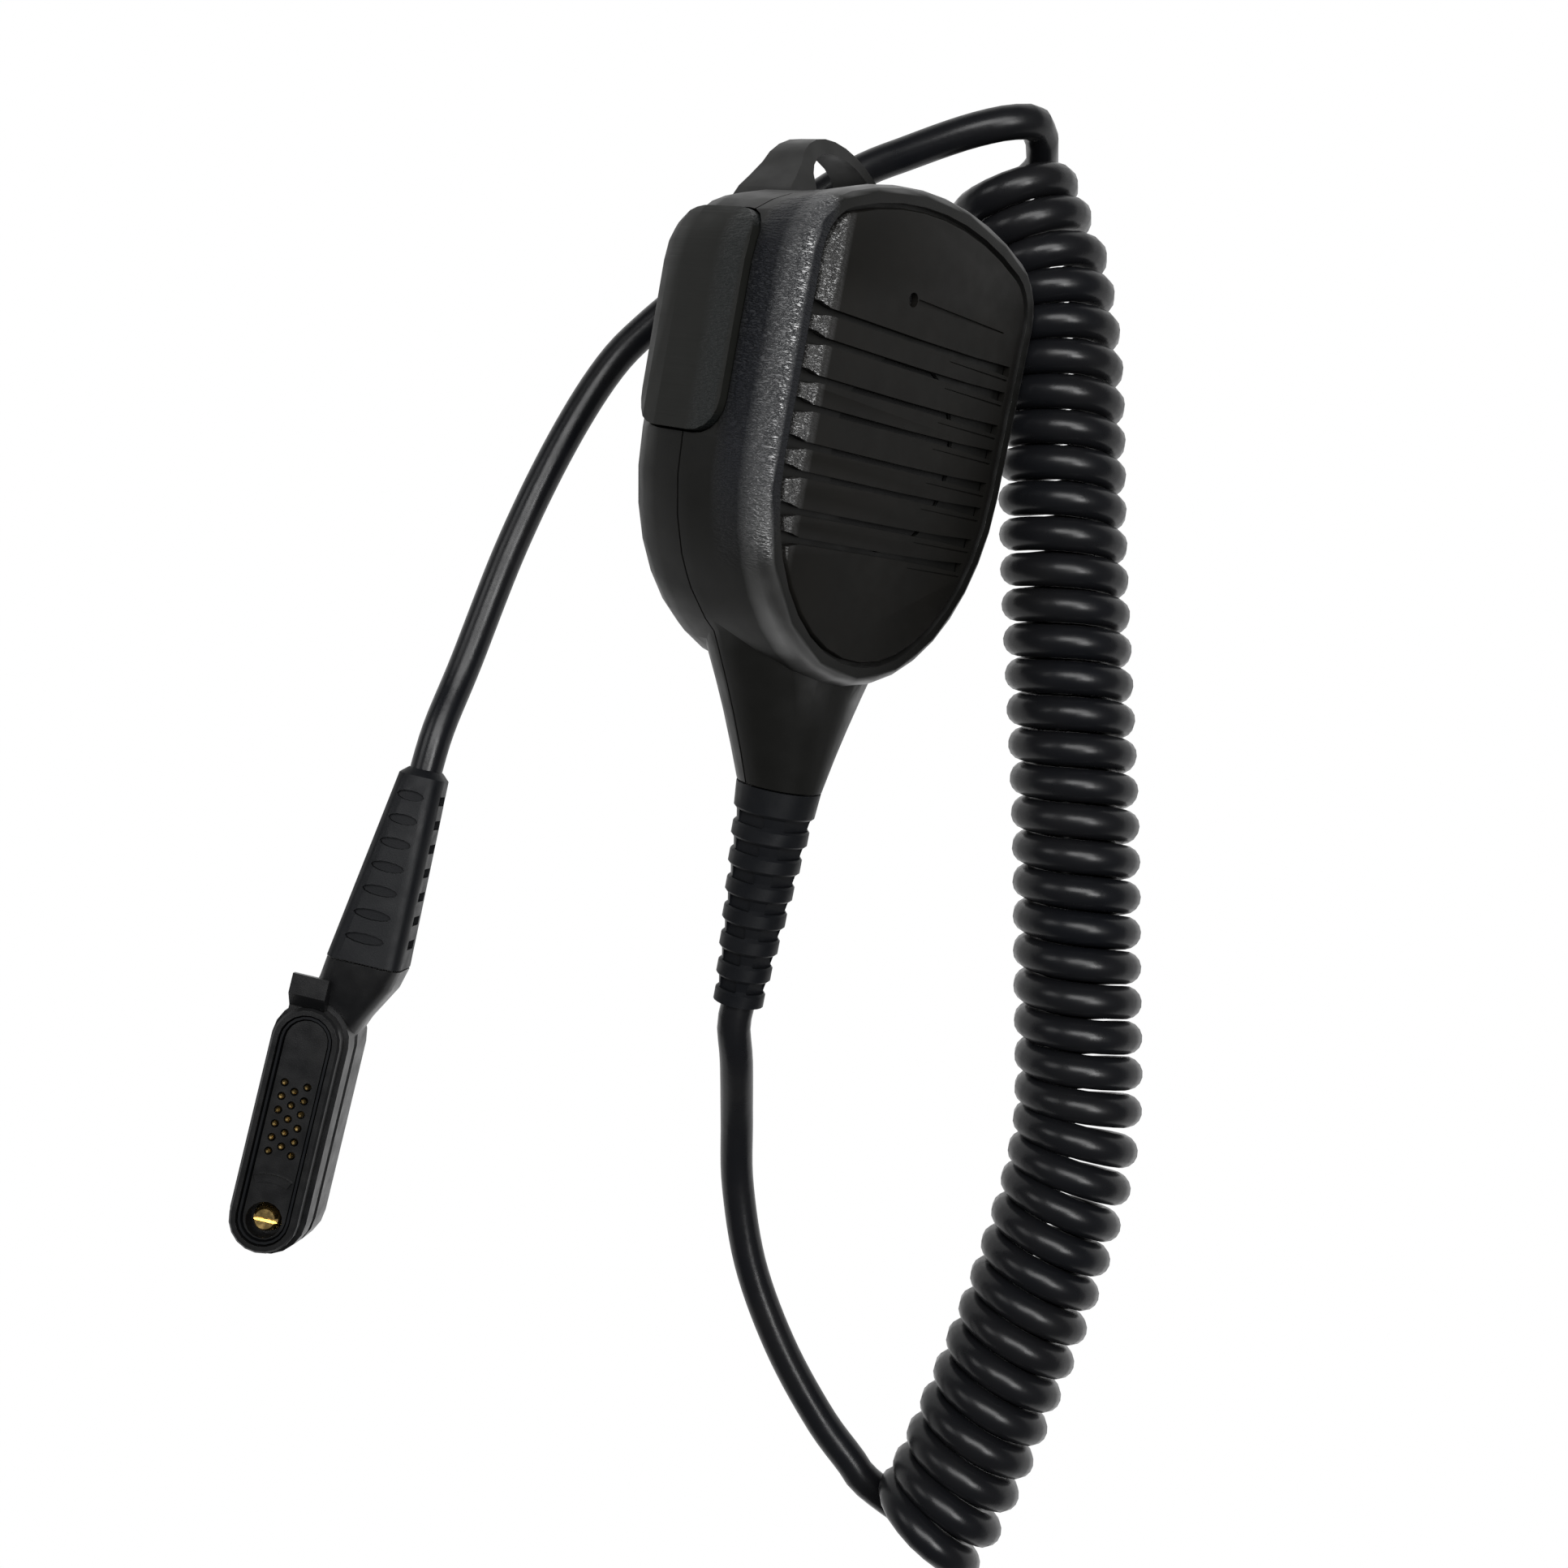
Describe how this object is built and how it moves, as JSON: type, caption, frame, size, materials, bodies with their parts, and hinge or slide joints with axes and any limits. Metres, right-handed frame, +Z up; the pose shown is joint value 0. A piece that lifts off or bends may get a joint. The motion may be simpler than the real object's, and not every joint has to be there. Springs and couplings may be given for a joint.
{
  "type": "remote speaker microphone",
  "caption": "Hand microphone with loudspeaker grille, press-to-talk key, hanging eye, swivel clip, curly cord and multi-pin accessory plug with thumb screw.",
  "frame": {"origin": "on the surface it lies on, below the middle of the microphone without its cord and plug", "axes": "+Z up, +Y from the cord relief towards the hanging eye along the microphone, +X to the side of the curly cord"},
  "size_m": [0.1495, 0.2447, 0.0656],
  "materials": {
    "housing": "fine leather grain on the front band, satin elsewhere",
    "panel": "fine spark-eroded texture",
    "key": "moulded rubber skin",
    "rubber": "moulded rubber",
    "cord": "satin polyurethane sheath",
    "clip": "satin",
    "steel": "plain",
    "brass": "gilt",
    "board": "solder mask",
    "cloth": "woven dust cloth"
  },
  "bodies": {
    "microphone": {"front_shell": "housing", "back_shell": "housing", "grille_panel": "panel", "ptt_seal": "rubber", "ptt_bracket": "panel", "ptt_switch": "steel", "housing_screw_1": "steel", "housing_screw_2": "steel", "housing_screw_3": "steel", "housing_screw_4": "steel", "dust_felt": "cloth", "speaker_gasket": "rubber", "speaker_frame": "steel", "speaker_cone": "cloth", "speaker_magnet": "steel", "circuit_board": "board", "cord_header": "panel", "mic_capsule": "steel", "mic_boot": "rubber", "neck_strain_relief": "rubber", "cord_tail": "cord", "cord_clamp": "steel", "clip_screw": "steel", "clip_washer": "steel", "plug_body": "panel", "contact_block": "panel", "plug_gasket": "rubber", "plug_boot": "rubber", "lead_lower": "cord", "lead_upper": "cord", "cord_coil": "cord"},
    "ptt_key": {"ptt_button": "key"},
    "clip": {"clip_base": "clip", "clip_pin": "steel", "clip_spring": "steel"},
    "clip_lever": {"clip_lever": "clip"},
    "thumb_screw": {"plug_screw": "brass"},
    "contact_pins": {"contact_pin_01": "brass", "contact_pin_02": "brass", "contact_pin_03": "brass", "contact_pin_04": "brass", "contact_pin_05": "brass", "contact_pin_06": "brass", "contact_pin_07": "brass", "contact_pin_08": "brass", "contact_pin_09": "brass", "contact_pin_10": "brass", "contact_pin_11": "brass", "contact_pin_12": "brass", "contact_pin_13": "brass", "contact_pin_14": "brass", "contact_pin_15": "brass", "contact_pin_16": "brass", "contact_pin_17": "brass"}
  },
  "joints": [
    {"name": "ptt_press", "type": "slide", "parent": "microphone", "child": "ptt_key", "axis": [0.6293, 0.1216, -0.7676], "range_m": [0, 0.0012], "stiffness_N_per_m": 2500, "springref_m": -0.0008},
    {"name": "clip_swivel", "type": "hinge", "parent": "microphone", "child": "clip", "pos_m": [-0.01171, 0.03236, 0.0226], "axis": [-0.7771, 0.0984, -0.6216], "continuous": true},
    {"name": "clip_open", "type": "hinge", "parent": "clip", "child": "clip_lever", "pos_m": [-0.01939, 0.03411, 0.0172], "axis": [-0.5557, -0.571, 0.6043], "range_deg": [0, 24], "stiffness_Nm_per_rad": 0.25, "springref_deg": -28.65, "deforming": ["clip_spring"]},
    {"name": "plug_screw_turn", "type": "hinge", "parent": "microphone", "child": "thumb_screw", "pos_m": [-0.06875, -0.12008, 0.003], "axis": [0, 0, 1], "continuous": true},
    {"name": "contact_pin_press", "type": "slide", "parent": "microphone", "child": "contact_pins", "axis": [0, 0, -1], "range_m": [0, 0.0006], "stiffness_N_per_m": 3000, "springref_m": -0.0004}
  ]
}
